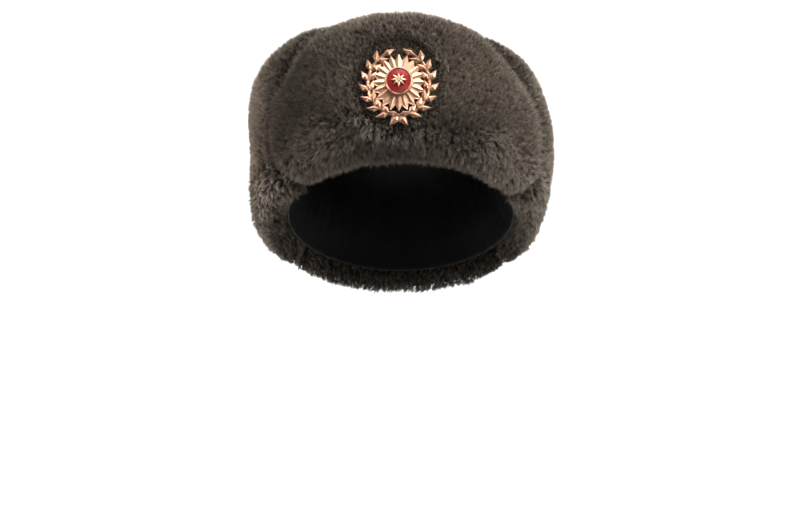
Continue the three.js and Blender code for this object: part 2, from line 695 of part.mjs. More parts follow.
function makeBadge() {
  const pocketRadius = ENAMEL_RADIUS + ENAMEL_FIT;
  const pocketFloor = RAY_RISE - POCKET_DEPTH;
  const setting = turned([
    [pocketRadius, pocketFloor],
    [pocketRadius + SETTING_WALL, RAY_RISE - SETTING_FOOT],
    [pocketRadius + SETTING_WALL * SETTING_LIP_SHARE, SETTING_RISE],
    [pocketRadius, SETTING_RISE],
    [pocketRadius, pocketFloor],
  ], OVAL_SIDES);
  const pocket = turned([
    [0, pocketFloor],
    [pocketRadius, pocketFloor],
    [pocketRadius, 2 * SETTING_RISE],
    [0, 2 * SETTING_RISE],
  ], OVAL_SIDES);
  const rod = (radius, length) => (
    new THREE.CylinderGeometry(radius, radius, length, POST_SIDES)
      .rotateX(Math.PI / 2)
      .translate(0, 0, -length / 2)
  );
  const post = solid(rod(POST_RADIUS, POST_LENGTH + BADGE_PLATE / 2).translate(0, 0, BADGE_PLATE / 2));
  const metal = [sunburst(), setting, ...wreath(), ...knot(), post].reduce((sum, part) => sum.add(part));
  const enamelFoot = pocketFloor + ENAMEL_FIT;
  const enamelEdge = SETTING_RISE - ENAMEL_SUNK;
  const enamel = turned([
    [0, enamelFoot],
    [ENAMEL_RADIUS, enamelFoot],
    [ENAMEL_RADIUS, enamelEdge],
    [ENAMEL_RADIUS * ENAMEL_SHOULDER.radius, enamelEdge + ENAMEL_CROWNING * ENAMEL_SHOULDER.rise],
    [0, enamelEdge + ENAMEL_CROWNING],
  ], OVAL_SIDES);
  const rosetteFoot = enamelEdge + ENAMEL_CROWNING + ENAMEL_FIT;
  const petals = Array.from({ length: PETALS }, (_, k) => leaf({
    foot: { x: 0, y: 0 },
    angle: (360 * k) / PETALS,
    length: PETAL_LENGTH,
    breadth: PETAL_BREADTH,
    base: rosetteFoot,
    ridge: PETAL_RIDGE,
  }));
  const heartTop = HEART_RADIUS * HEART_TOP_SHARE;
  const heart = solid(new THREE.CylinderGeometry(heartTop, HEART_RADIUS, HEART_RISE, HEART_SIDES)
    .rotateX(Math.PI / 2)
    .translate(0, 0, rosetteFoot + HEART_RISE / 2));
  const rosette = petals.reduce((sum, petal) => sum.add(petal), heart);
  const group = new THREE.Group();
  group.position.copy(badgePlace).addScaledVector(badgeOut, BADGE_GAP);
  const right = new THREE.Vector3(0, 0, 1).cross(badgeOut).normalize();
  group.quaternion.setFromRotationMatrix(
    new THREE.Matrix4().makeBasis(right, badgeOut.clone().cross(right), badgeOut),
  );
  group.updateMatrix();
  group.add(
    piece("badge_metal", surface(metal.subtract(pocket)), "metal"),
    piece("badge_enamel", surface(enamel), "enamel"),
    piece("badge_rosette", surface(rosette), "metal"),
  );
  const postHole = () => rod(POST_RADIUS + POST_CLEARANCE, POST_LENGTH + POST_CLEARANCE + LOCK_HEIGHT)
    .translate(0, 0, LOCK_HEIGHT).applyMatrix4(group.matrix);
  return { group, postHole };
}

// The hat in the frame of its rim plane, then tilted back as it is worn, with the top of the hollow at the
// origin
const badge = makeBadge();
const hat = new THREE.Group();
hat.add(
  makeLining(),
  makeCrown(),
  makeVisor(badge),
  makeEarFlap("left"),
  makeEarFlap("right"),
  makeNapeFlap(),
  badge.group,
);
hat.rotation.x = -radians(WORN_TILT);

const midline = Array.from({ length: SEAT_STEPS + 1 }, (_, k) => {
  const place = section(k / SEAT_STEPS, 0);
  return onOval(place.x, place.y, 0, place.z).applyEuler(hat.rotation);
});
const seat = midline.reduce((best, place) => (place.z > best.z ? place : best));
hat.position.copy(seat).negate();

const root = new THREE.Group();
root.add(hat);
export default root;
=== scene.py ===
"""The fur hat's finish: pads under a deep plush pile, a black lining, a cast badge, and the studio."""

import math

import bmesh
import bpy
import numpy as np
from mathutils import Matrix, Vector, kdtree


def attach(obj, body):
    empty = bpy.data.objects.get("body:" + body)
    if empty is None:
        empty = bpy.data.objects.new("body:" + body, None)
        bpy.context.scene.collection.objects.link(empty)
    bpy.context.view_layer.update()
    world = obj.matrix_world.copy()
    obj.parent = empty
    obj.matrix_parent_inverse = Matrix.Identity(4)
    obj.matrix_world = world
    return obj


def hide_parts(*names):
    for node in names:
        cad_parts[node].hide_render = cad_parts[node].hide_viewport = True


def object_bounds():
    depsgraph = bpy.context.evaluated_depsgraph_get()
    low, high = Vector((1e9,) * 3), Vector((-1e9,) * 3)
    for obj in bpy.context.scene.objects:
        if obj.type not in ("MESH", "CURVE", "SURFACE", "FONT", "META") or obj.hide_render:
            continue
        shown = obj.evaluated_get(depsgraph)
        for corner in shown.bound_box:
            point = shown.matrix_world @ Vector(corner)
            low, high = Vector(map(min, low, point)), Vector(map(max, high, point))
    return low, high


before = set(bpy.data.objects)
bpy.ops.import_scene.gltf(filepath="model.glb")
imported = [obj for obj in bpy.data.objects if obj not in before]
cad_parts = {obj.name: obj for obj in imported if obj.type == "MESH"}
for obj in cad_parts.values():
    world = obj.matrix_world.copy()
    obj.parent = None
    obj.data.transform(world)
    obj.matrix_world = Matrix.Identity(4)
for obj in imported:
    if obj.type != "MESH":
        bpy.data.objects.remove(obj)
cad_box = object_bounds()

MM = 0.001

# How the hat sits, as in the construction
RIM_MIDDLE = Vector((0.0, 41.4, -130.8)) * MM
WORN_TILT = math.radians(24.5)  # how far the rim drops to the back
FORWARD_SET = 0.2  # how far the hat stands forward for each millimetre of height above the rim

# Pads
PAD_VOXEL = 3.8 * MM
CROWN_VOXEL = 5.4 * MM
PAD_SMOOTHING = 10
PAD_SINK = 2.4 * MM  # the pads' skin lies this far under the construction's

# Strands
PILE_LENGTH = 8.6 * MM
PILE_WIDTH = 0.30 * MM
ROOT_DEPTH = 0.4 * MM  # how deep the roots stand in the pad
BEND_AT = 0.5  # share of its length where a strand bends
STRAND_LENGTHS = (0.75, 1.05)  # shortest and longest, as shares of the length for the place
HALF_WIDTHS = (0.35, 0.65)  # as shares of PILE_WIDTH
GUARD_SHARE = 0.05  # share of strands that are guard hairs
GUARD_LENGTH = 1.22
LAID_FLAT = 0.6  # how much less a strand stands off the pad where it lies right over
CURL = (0.15, 0.45)  # how far its upper half turns along the nap: upright, and more where it lies over
STRAND_STRAY = (0.10, 0.12)  # how far a strand strays from the nap: its lower half, its upper half
TUFT_STRAY = (0.16, 0.17)  # the same for a whole tuft

# Tufts
SHAGGY_BELOW = (26 * MM, 44 * MM)  # height above the rim where the pile is all shaggy, and where it isn't
TUFT_PITCH = (2.2 * MM, 3.0 * MM)  # how far apart tufts stand: high up, and low down where it is shaggy
TUFT_PULL = (0.32, 0.55)  # how far the tufts' tips are drawn together, high up and low down
TUFT_LENGTHS = (0.82, 1.12)
TUFT_PULLS = (0.5, 1.2)  # how the pull differs between tufts
STRAND_PULLS = (0.6, 1.2)  # and between the strands of one
GATHERED_AT = (0.8, 1.1)  # where drawn tips lie, along the upper half of the tuft's first strand
BEND_PULL = 0.35  # share of the pull that the bends follow

# Pile round the badge
BADGE_MIDDLE = Vector((-2.3, -78.0, -24.5)) * MM
BADGE_HALF = (34 * MM, 38 * MM)  # half breadth and half height
BADGE_BACK = 40 * MM  # what lies further behind the badge than this isn't near it
FAR_FROM_BADGE = 9.0
FLATTENED_TO = 0.35  # the shortest pile behind the badge, as a share of its length
FLATTENED_WITHIN = (0.94, 0.20)  # where the pile's length is nothing, and over how much it grows to full

# Pile's tone, with painted light and shade on it
BEND_TONE = 0.55  # the bend's place between the root's colour and the tip's
BASE_TONE = 0.1
STRAND_TONE = 0.3
TUFT_TONE = 0.25
PATCH_TONE = 0.25
PATCH_SIZE = 22 * MM
PAINTED_LIGHT_AND_SHADE = (  # painted light and shade: where the pile's tone is painted lighter or darker: x, z and spread in mm, and the change of tone
    (0, 22, 28, 0.55),
    (72, -24, 26, 0.55),
    (52, -30, 19, 0.45),
    (90, -10, 12, -0.4),
    (-1, -69, 22, -0.42),
    (39, -62, 15, -0.5),
    (60, -66, 11, -0.25),
    (-124, -4, 12, 0.6),
    (-124, -26, 12, 0.75),
    (-124, -48, 12, 0.75),
    (-124, -70, 12, 0.75),
    (-124, -92, 12, 0.75),
    (-113, -101, 14, 0.5),
    (128, -78, 30, 0.25),
    (-50, -84, 18, 0.2),
    (-72, 4, 16, -0.3),
    (-94, -9, 14, -0.42),
    (-97, -36, 17, -0.35),
    (-97, -64, 17, -0.36),
    (-93, -85, 12, -0.4),
)
TRIMMED = (  # where the pile is shorter: x, z and spread in mm, and the change of length
    (71, 17, 20, -0.3),
    (-53, 29, 14, -0.15),
    (89, -170, 14, -0.35),
    (-96, -170, 14, -0.35),
)

# Where pile stands on a flap: all over its outside, and a little way over the top edge and the fold
OUTSIDE_FROM = -0.55  # how far a face turns away from outwards before its pile ends
OUTSIDE_OVER = 0.5  # and over how much the pile thins out before that
TOP_INSIDE = 18 * MM
FOLD_INSIDE = 16 * MM
EDGE_SHARE = 0.75  # the pile's share there
SIDE_FROM = 0.35  # how far a face turns sideways before it counts as a side edge
SIDE_OVER = 0.45

# How pile lies on a flap
PARTING = 22 * MM  # height above the rim where the nap parts, upwards and downwards
PARTING_OVER = 20 * MM
SIDE_PUSH = 1.6  # how strongly it stands out from the side edges, which closes the clefts
FLAP_SWIRL = (0.42, 28 * MM)  # strength, and size
LOW_BELOW = 40 * MM  # height above the rim where the pile begins to grow longer
FLAP_LEAN = (0.18, 0.35, 0.35)  # high up, and what is added at the fold and on the side edges
FLAP_LENGTH = (0.95, 0.6)  # high up, and what is added on the side edges

# Where pile stands on the crown, and how it lies
CROWN_MIDDLE = 20 * MM  # height above the rim of the point that it stands away from
CROWN_FROM = 55 * MM  # height above the rim where it begins
CROWN_OVER = 25 * MM
CROWN_COMBED_BACK = 60 * MM
CROWN_SWIRL = (0.4, 26 * MM)
CROWN_LEAN = 0.42
CROWN_LENGTH = 0.95

# Lining
LINING_ROUNDING = 2
LINING_SEED = 7
PUCKERS = 44
PUCKER_DEPTH = 1.3 * MM
PUCKER_DRIFT = (1.3, 30 * MM)  # how far they wander sideways, and over what length
PUCKER_HEIGHT = 90 * MM  # height above the rim where they end
PUCKERS_AT_RIM = 0.25  # share of their depth at the rim
PUCKER_END = 4  # how suddenly they end at the top

# Badge
ENGRAVED_AREA = 3.0 * MM ** 2  # facets larger than this are engraved
ENGRAVED_FACING = -0.5  # where they face forwards
ENGRAVED_FULLNESS = 0.03  # and aren't slivers: their area over their outline's length squared
ENGRAVED_MARGIN = 0.42 * MM
ENGRAVED_DEPTH = 0.22 * MM
WORN_EDGE = 0.16 * MM
FLAT_ANGLE = math.radians(1)
WORN_ANGLE = math.radians(18)

# Colours, linear
PILE_ROOT = (0.010, 0.0078, 0.0059)
PILE_MIDDLE = (0.055, 0.0442, 0.034)
PILE_TIP = (0.318, 0.265, 0.216)
UNDERCOAT_LIGHT = 0.45  # share of PILE_MIDDLE
SATIN_DARK = (0.0012, 0.0012, 0.0012)
SATIN_LIGHT = (0.0032, 0.0032, 0.003)
METAL_DARK = (0.31, 0.155, 0.09)
METAL_LIGHT = (0.49, 0.288, 0.19)
# Painted shade, laid into the badge's recesses
PAINTED_RECESS_SHADE = (0.10, 0.042, 0.022)
ENAMEL_DARK = (0.15, 0.005, 0.004)
ENAMEL_LIGHT = (0.24, 0.012, 0.009)

# Camera
PHOTO_WIDTH = 790
FOCAL_PIXELS = 1705
SENSOR_WIDTH = 36
CAMERA_DISTANCE = 1.5
CAMERA_ASIDE = -5.3 * MM
CAMERA_DROP = 33 * MM  # below the rim's middle

# Studio
FLOOR_DROP = 0.9  # the floor is this far below the hat
FLOOR_FRONT = -2.5
FLOOR_BACK = 1.2  # where it begins to sweep up
FLOOR_HALF = 3  # half breadth
SWEEP_RADIUS = 0.8
SWEEP_STEPS = 12
BACKDROP_TOP = 3.2
AIM = (0, 0.02, -0.08)  # where the lights on the hat point
LIGHTS = (  # name, place, aim, size and power
    ("front", (0.5, -1.6, 0.9), AIM, 1.0, 2),
    ("left", (-0.75, 0.06, 0.22), AIM, 0.45, 18),
    ("right", (0.70, -0.34, 0.34), AIM, 0.45, 13),
    ("top", (0.08, 0.0, 0.75), AIM, 0.5, 22),
    ("backdrop_left", (-1.4, 0.9, 1.2), (-0.5, 2.0, 0.3), 0.8, 40),
    ("backdrop_right", (1.4, 0.9, 1.2), (0.5, 2.0, 0.3), 0.8, 40),
)
WORLD_LIGHT = 0.2


def hat_frame(points):
    """Points as rows, from the row frame into the rim plane's: x, y and height above the rim."""
    offset = points - np.array(RIM_MIDDLE)
    c, s = math.cos(WORN_TILT), math.sin(WORN_TILT)
    y = offset[:, 1] * c - offset[:, 2] * s
    z = offset[:, 1] * s + offset[:, 2] * c
    return np.stack([offset[:, 0], y + FORWARD_SET * z, z], axis=1)


def unit(rows):
    return rows / np.maximum(np.linalg.norm(rows, axis=1, keepdims=True), 1e-9)


def swirl(points, rng, scale, waves=7):
    """A smooth vector field over the points that changes direction every scale metres or so."""
    field = np.zeros_like(points)
    for _ in range(waves):
        wave = rng.normal(size=3) / scale
        push = rng.normal(size=3)
        field += np.sin(points @ wave + rng.uniform(0, 2 * math.pi))[:, None] * push
    return field / math.sqrt(waves)


def new_object(name, mesh):
    obj = bpy.data.objects.new(name, mesh)
    bpy.context.scene.collection.objects.link(obj)
    return obj


def merged_copy(node, name):
    """A copy of a construction node's mesh with its corners joined."""
    work = bmesh.new()
    work.from_mesh(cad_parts[node].data)
    bmesh.ops.remove_doubles(work, verts=work.verts, dist=0.01 * MM)
    mesh = bpy.data.meshes.new(name)
    work.to_mesh(mesh)
    work.free()
    return new_object(name, mesh)


def apply_modifiers(obj):
    graph = bpy.context.evaluated_depsgraph_get()
    mesh = bpy.data.meshes.new_from_object(obj.evaluated_get(graph))
    obj.modifiers.clear()
    obj.data = mesh


def shade_smooth(mesh):
    for polygon in mesh.polygons:
        polygon.use_smooth = True


def read_rows(items, field, kind=float):
    """A field of three numbers, of every item, as rows."""
    rows = np.zeros(len(items) * 3, dtype=kind)
    items.foreach_get(field, rows)
    return rows.reshape(-1, 3)


def keep_largest(mesh):
    """Leaves only the largest connected part of a mesh."""
    work = bmesh.new()
    work.from_mesh(mesh)
    unseen = set(work.verts)
    largest = set()
    while unseen:
        part = set()
        reached = [next(iter(unseen))]
        while reached:
            vert = reached.pop()
            if vert not in part:
                part.add(vert)
                reached.extend(edge.other_vert(vert) for edge in vert.link_edges)
        unseen -= part
        largest = max(largest, part, key=len)
    bmesh.ops.delete(work, geom=[vert for vert in work.verts if vert not in largest], context="VERTS")
    work.to_mesh(mesh)
    work.free()


def make_pad(node, name, voxel):
    """A soft pad where the node is, with the node's locks smoothed away and its skin sunk under the pile."""
    pad = merged_copy(node, name)
    remesh = pad.modifiers.new("even", "REMESH")
    remesh.mode = "VOXEL"
    remesh.voxel_size = voxel
    smooth = pad.modifiers.new("soften", "SMOOTH")
    smooth.iterations = PAD_SMOOTHING
    sink = pad.modifiers.new("sink", "DISPLACE")
    sink.mid_level = 0
    sink.strength = -PAD_SINK
    apply_modifiers(pad)
    keep_largest(pad.data)
    shade_smooth(pad.data)
    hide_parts(node)
    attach(pad, "root")
    pad.data.materials.append(materials["underfur"])
    return pad


def scatter_roots(pad, count, share, rng):
    """Places and normals on a pad, spread evenly by area and thinned by share(places, normals)."""
    mesh = pad.data
    mesh.calc_loop_triangles()
    corners = read_rows(mesh.loop_triangles, "vertices", np.int32)
    places = read_rows(mesh.vertices, "co")
    normals = read_rows(mesh.vertices, "normal")
    a, b, c = (places[corners[:, k]] for k in range(3))
    area = np.linalg.norm(np.cross(b - a, c - a), axis=1) / 2
    middle = (a + b + c) / 3
    facing = unit(normals[corners].mean(axis=1))
    weight = area * share(middle, facing)
    face = rng.choice(len(corners), size=count, p=weight / weight.sum())
    u, v = rng.uniform(size=count), rng.uniform(size=count)
    over = u + v > 1
    u[over], v[over] = 1 - u[over], 1 - v[over]
    mix = np.stack([1 - u - v, u, v], axis=1)[:, :, None]
    return (places[corners[face]] * mix).sum(axis=1), unit((normals[corners[face]] * mix).sum(axis=1))


def shagginess(places):
    """From 0 high up, where the pile is short and even, to 1 at the fold, where it is long and in tufts."""
    low, high = SHAGGY_BELOW
    return np.clip((high - hat_frame(places)[:, 2]) / (high - low), 0, 1)


def nearest_tuft(roots, rng):
    """For each root, the number of its tuft's root: tufts stand about TUFT_PITCH apart."""
    order = rng.permutation(len(roots))
    shaggy = (shagginess(roots[order]) > rng.uniform(size=len(roots)))[:, None]
    cells = np.floor(roots[order] / np.where(shaggy, TUFT_PITCH[1], TUFT_PITCH[0])).astype(np.int64)
    cells = np.concatenate([cells, shaggy], axis=1)
    _, first = np.unique(cells, axis=0, return_index=True)
    centres = order[first]
    tree = kdtree.KDTree(len(centres))
    for number, root in enumerate(centres):
        tree.insert(roots[root], number)
    tree.balance()
    number = np.fromiter((tree.find(root)[1] for root in roots), dtype=np.int64, count=len(roots))
    return centres[number]


def by_badge(places):
    """How near each place is to the badge: under 1 behind it, 1 at its edge, more outside."""
    across = (places[:, 0] - BADGE_MIDDLE.x) / BADGE_HALF[0]
    up = (places[:, 2] - BADGE_MIDDLE.z) / BADGE_HALF[1]
    reach = np.hypot(across, up)
    return np.where(places[:, 1] < BADGE_MIDDLE.y + BADGE_BACK, reach, FAR_FROM_BADGE)


def change_at(places, patches):
    """The change that a table of round patches makes at each place, each patch fading out to its sides."""
    change = np.zeros(len(places))
    for x, z, spread, most in patches:
        away = np.hypot(places[:, 0] - x * MM, places[:, 2] - z * MM) / (spread * MM)
        change += most * np.exp(-away ** 2 / 2)
    return change


def place_share(roots):
    """How long the pile is by its place alone: shorter behind the badge and where it is trimmed."""
    nothing, grown = FLATTENED_WITHIN
    flattened = np.clip((by_badge(roots) - nothing) / grown, FLATTENED_TO, 1.0)
    return flattened * (1 + change_at(roots, TRIMMED))


def strand_mesh(name, corners):
    """Slivers of two faces each, from rows of a strand's root, its bend's two sides and its tip."""
    places = corners.reshape(-1, 3)
    first = np.arange(len(corners))[:, None] * 4
    faces = np.concatenate([first + np.array([0, 2, 1]), first + np.array([1, 2, 3])], axis=1).reshape(-1, 3)
    mesh = bpy.data.meshes.new(name)
    mesh.vertices.add(len(places))
    mesh.vertices.foreach_set("co", places.ravel())
    mesh.loops.add(faces.size)
    mesh.loops.foreach_set("vertex_index", faces.ravel())
    mesh.polygons.add(len(faces))
    mesh.polygons.foreach_set("loop_start", np.arange(0, faces.size, 3))
    mesh.update(calc_edges=True)
    return mesh


def write_attribute(mesh, name, values):
    mesh.attributes.new(name, "FLOAT", "POINT").data.foreach_set("value", values)


def make_pile(pad, name, count, seed, share, nap, lean, width):
    """Strands of pile on a pad, gathered into tufts.

    nap(places, normals, rng) gives the way the pile lies, and lean(places, normals) how far it lies over,
    from 0 to 1, and its length as a share of PILE_LENGTH."""
    rng = np.random.default_rng(seed)
    roots, normals = scatter_roots(pad, count, share, rng)
    tuft = nearest_tuft(roots, rng)
    lie = nap(roots, normals, rng)
    lie = unit(lie - (lie * normals).sum(axis=1, keepdims=True) * normals)
    over, length = lean(roots, normals)
    over = over[:, None]
    length = np.where(rng.uniform(size=count) < GUARD_SHARE, GUARD_LENGTH * length, length)

    # The way and the length of each strand
    stray = rng.normal(size=roots.shape)
    tuft_stray = rng.normal(size=roots.shape)[tuft]
    upright = normals * (1 - LAID_FLAT * over) + lie * over
    start = unit(upright + STRAND_STRAY[0] * stray + TUFT_STRAY[0] * tuft_stray)
    turn = lie * (CURL[0] + CURL[1] * over)
    end = unit(start + turn + STRAND_STRAY[1] * stray + TUFT_STRAY[1] * tuft_stray)
    tuft_length = rng.uniform(*TUFT_LENGTHS, size=count)[tuft]
    reach = PILE_LENGTH * length * place_share(roots) * tuft_length
    reach = (reach * rng.uniform(*STRAND_LENGTHS, size=count))[:, None]
    low = roots - normals * ROOT_DEPTH
    bend = roots + start * reach * BEND_AT
    tip = bend + end * reach * (1 - BEND_AT)

    # The tips drawn together in tufts
    pull = TUFT_PULL[0] + (TUFT_PULL[1] - TUFT_PULL[0]) * shagginess(roots)
    pull = pull * rng.uniform(*TUFT_PULLS, size=count)[tuft]
    pull = (pull * rng.uniform(*STRAND_PULLS, size=count))[:, None]
    gathered = bend[tuft] + (tip - bend)[tuft] * rng.uniform(*GATHERED_AT, size=count)[:, None]
    tip = tip + (gathered - tip) * pull
    bend = bend + (bend[tuft] - bend) * pull * BEND_PULL
    side = unit(np.cross(tip - low, rng.normal(size=roots.shape)))
    half = side * (PILE_WIDTH * width * rng.uniform(*HALF_WIDTHS, size=count))[:, None]
    mesh = strand_mesh(name, np.stack([low, bend - half, bend + half, tip], axis=1))

    # The tone of each strand
    patches = 0.5 + 0.5 * np.tanh(swirl(roots, rng, PATCH_SIZE)[:, 0])
    tone = BASE_TONE + STRAND_TONE * rng.uniform(size=count)
    tone = tone + TUFT_TONE * rng.uniform(size=count)[tuft] + PATCH_TONE * patches
    # Painted light and shade: round patches that make the tone lighter or darker
    tone += change_at(roots, PAINTED_LIGHT_AND_SHADE)
    write_attribute(mesh, "along", np.tile([0.0, BEND_TONE, BEND_TONE, 1.0], count))
    write_attribute(mesh, "tone", np.repeat(tone, 4))
    pile = new_object(name, mesh)
    mesh.materials.append(materials["pile"])
    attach(pile, "root")


def set_socket(node, name, value):
    node.inputs[name].default_value = value


def make_material(name):
    material = bpy.data.materials.new(name)
    material.use_nodes = True
    nodes = material.node_tree.nodes
    return material, nodes, material.node_tree.links, nodes["Principled BSDF"]


def attribute_node(nodes, name):
    attribute = nodes.new("ShaderNodeAttribute")
    attribute.attribute_name = name
    return attribute


def noise_node(nodes, links, scale):
    """Noise that lies on the object's own coordinates."""
    place = nodes.new("ShaderNodeTexCoord")
    noise = nodes.new("ShaderNodeTexNoise")
    set_socket(noise, "Scale", scale)
    links.new(place.outputs["Object"], noise.inputs["Vector"])
    return noise


def ramp_node(nodes, links, source, stops):
    ramp = nodes.new("ShaderNodeValToRGB")
    elements = ramp.color_ramp.elements
    while len(elements) < len(stops):
        elements.new(0.5)
    for element, (position, colour) in zip(elements, stops):
        element.position = position
        element.color = (*colour, 1)
    links.new(source, ramp.inputs["Fac"])
    return ramp


def range_node(nodes, links, source, low, high):
    """Turns 0 to 1 into low to high."""
    spread = nodes.new("ShaderNodeMapRange")
    set_socket(spread, "To Min", low)
    set_socket(spread, "To Max", high)
    links.new(source, spread.inputs["Value"])
    return spread


def add_bump(nodes, links, shader, noise, distance):
    bump = nodes.new("ShaderNodeBump")
    set_socket(bump, "Distance", distance)
    links.new(noise.outputs["Fac"], bump.inputs["Height"])
    links.new(bump.outputs["Normal"], shader.inputs["Normal"])


def pile_material():
    """Grey-brown plush: dark at the root, light at the tip, each strand and tuft a little different, with
    painted light and shade in broad patches.
    """
    material, nodes, links, shader = make_material("plush_pile")
    along = attribute_node(nodes, "along")
    tone = attribute_node(nodes, "tone")
    stops = [(0.0, PILE_ROOT), (BEND_TONE, PILE_MIDDLE), (1.0, PILE_TIP)]
    ramp = ramp_node(nodes, links, along.outputs["Fac"], stops)
    # The tone holds random differences between strands, tufts and patches, and painted light and shade
    brightness = range_node(nodes, links, tone.outputs["Fac"], 0.6, 1.35)
    brightness.clamp = False
    tinted = nodes.new("ShaderNodeVectorMath")
    tinted.operation = "SCALE"
    links.new(ramp.outputs["Color"], tinted.inputs["Vector"])
    links.new(brightness.outputs["Result"], tinted.inputs["Scale"])
    links.new(tinted.outputs["Vector"], shader.inputs["Base Color"])
    set_socket(shader, "Roughness", 0.75)
    set_socket(shader, "Specular IOR Level", 0.12)
    set_socket(shader, "Sheen Weight", 0.12)
    set_socket(shader, "Sheen Tint", (1.0, 0.88, 0.78, 1))
    set_socket(shader, "Sheen Roughness", 0.5)
    return material


def underfur_material():
    """The dense undercoat seen between the tufts."""
    material, nodes, links, shader = make_material("undercoat")
    noise = noise_node(nodes, links, 900)
    light = tuple(UNDERCOAT_LIGHT * c for c in PILE_MIDDLE)
    ramp = ramp_node(nodes, links, noise.outputs["Fac"], [(0.3, PILE_ROOT), (0.75, light)])
    links.new(ramp.outputs["Color"], shader.inputs["Base Color"])
    add_bump(nodes, links, shader, noise, 0.6 * MM)
    set_socket(shader, "Roughness", 0.95)
    set_socket(shader, "Specular IOR Level", 0.1)
    return material


def lining_material():
    """Black satin, a little cloudy, with a fine thread."""
    material, nodes, links, shader = make_material("black_satin")
    cloud = noise_node(nodes, links, 38)
    thread = noise_node(nodes, links, 1400)
    ramp = ramp_node(nodes, links, cloud.outputs["Fac"], [(0.3, SATIN_DARK), (0.75, SATIN_LIGHT)])
    links.new(ramp.outputs["Color"], shader.inputs["Base Color"])
    gloss = range_node(nodes, links, cloud.outputs["Fac"], 0.42, 0.58)
    links.new(gloss.outputs["Result"], shader.inputs["Roughness"])
    add_bump(nodes, links, shader, thread, 0.05 * MM)
    set_socket(shader, "Specular IOR Level", 0.1)
    return material


def metal_material():
    """Copper-gold: polished on the high places, rougher in the recesses, with painted shade darkening them.
    """
    material, nodes, links, shader = make_material("copper_gold")
    noise = noise_node(nodes, links, 260)
    set_socket(noise, "Detail", 4)
    ramp = ramp_node(nodes, links, noise.outputs["Fac"], [(0.25, METAL_DARK), (0.75, METAL_LIGHT)])
    # Painted shade: the colour darkens where occlusion finds a recess, and the roughness rises there
    hollow = nodes.new("ShaderNodeAmbientOcclusion")
    hollow.samples = 6
    set_socket(hollow, "Distance", 1.9 * MM)
    depth = range_node(nodes, links, hollow.outputs["AO"], 0.0, 1.0)
    set_socket(depth, "From Min", 0.35)
    set_socket(depth, "From Max", 0.95)
    recess_shade = nodes.new("ShaderNodeMix")
    recess_shade.data_type = "RGBA"
    recess_shade.inputs["A"].default_value = (*PAINTED_RECESS_SHADE, 1)
    links.new(depth.outputs["Result"], recess_shade.inputs["Factor"])
    links.new(ramp.outputs["Color"], recess_shade.inputs["B"])
    links.new(recess_shade.outputs["Result"], shader.inputs["Base Color"])
    dull = range_node(nodes, links, depth.outputs["Result"], 0.6, 0.43)
    links.new(dull.outputs["Result"], shader.inputs["Roughness"])
    add_bump(nodes, links, shader, noise, 0.12 * MM)
    set_socket(shader, "Metallic", 0.95)
    return material


def enamel_material():
    """Glossy red enamel, a little cloudy."""
    material, nodes, links, shader = make_material("red_enamel")
    noise = noise_node(nodes, links, 120)
    ramp = ramp_node(nodes, links, noise.outputs["Fac"], [(0.3, ENAMEL_DARK), (0.8, ENAMEL_LIGHT)])
    links.new(ramp.outputs["Color"], shader.inputs["Base Color"])
    set_socket(shader, "Roughness", 0.18)
    set_socket(shader, "Coat Weight", 0.4)
    return material


materials = {
    "pile": pile_material(),
    "underfur": underfur_material(),
    "lining": lining_material(),
    "metal": metal_material(),
    "enamel": enamel_material(),
}


def facing_along(places, normals, way):
    """How far each normal turns towards way, from -1 to 1, with way in the rim plane's frame."""
    at = hat_frame(places)
    tips = hat_frame(places + normals * MM)
    return ((tips - at) / MM * way).sum(axis=1)


def outwards(places):
    """The level direction away from the hat's middle."""
    at = hat_frame(places)
    return unit(np.stack([at[:, 0], at[:, 1], np.zeros(len(at))], axis=1))


def outside_share(places, normals):
    """Pile on a flap's outside, and a little way over its top edge and its fold, where it shows."""
    height = hat_frame(places)[:, 2]
    facing = facing_along(places, normals, outwards(places))
    outside = np.clip((facing - OUTSIDE_FROM) / OUTSIDE_OVER, 0, 1)
    edge = (height > height.max() - TOP_INSIDE) | (height < FOLD_INSIDE)
    return np.maximum(outside, np.where(edge, EDGE_SHARE, 0.0))


def crown_share(places, normals):
    """Pile on the top of the crown, down to where the flaps hide it."""
    at = hat_frame(places)
    facing = facing_along(places, normals, unit(at - np.array([0, 0, CROWN_MIDDLE])))
    return np.where(facing > 0, np.clip((at[:, 2] - CROWN_FROM) / CROWN_OVER, 0, 1), 0)


def sideways(places, normals):
    """From 0 on a flap's face to 1 on its side edges, which face the next flap."""
    out = outwards(places)
    along = np.stack([-out[:, 1], out[:, 0], np.zeros(len(out))], axis=1)
    return np.clip((np.abs((normals * along).sum(axis=1)) - SIDE_FROM) / SIDE_OVER, 0, 1)


def flap_nap(places, normals, rng):
    """On the flaps the pile lies upwards, and downwards at the fold, with gentle swirls, and it
    stands out from their side edges to close the clefts."""
    height = hat_frame(places)[:, 2]
    way = np.clip((height - PARTING) / PARTING_OVER, -1, 1)
    upright = np.stack([np.zeros(len(places)), np.zeros(len(places)), way], axis=1)
    side = sideways(places, normals)[:, None]
    strength, size = FLAP_SWIRL
    return (1 - side) * upright + SIDE_PUSH * side * outwards(places) + strength * swirl(places, rng, size)


def crown_nap(places, normals, rng):
    """On the crown it lies away from the top and to the back."""
    at = hat_frame(places)
    away = np.stack([at[:, 0], at[:, 1] + CROWN_COMBED_BACK, np.zeros(len(at))], axis=1)
    strength, size = CROWN_SWIRL
    return unit(away) + strength * swirl(places, rng, size)


def flap_lean(longer_at_fold):
    """How far the pile lies over, and its length: both grow towards the fold and on the side edges."""
    def lean(places, normals):
        low = np.clip(1 - hat_frame(places)[:, 2] / LOW_BELOW, 0, 1)
        side = sideways(places, normals)
        over = FLAP_LEAN[0] + FLAP_LEAN[1] * low + FLAP_LEAN[2] * side
        return over, FLAP_LENGTH[0] + longer_at_fold * low + FLAP_LENGTH[1] * side
    return lean


def crown_lean(places, normals):
    """The crown's pile lies well over, all alike."""
    return np.full(len(places), CROWN_LEAN), np.full(len(places), CROWN_LENGTH)


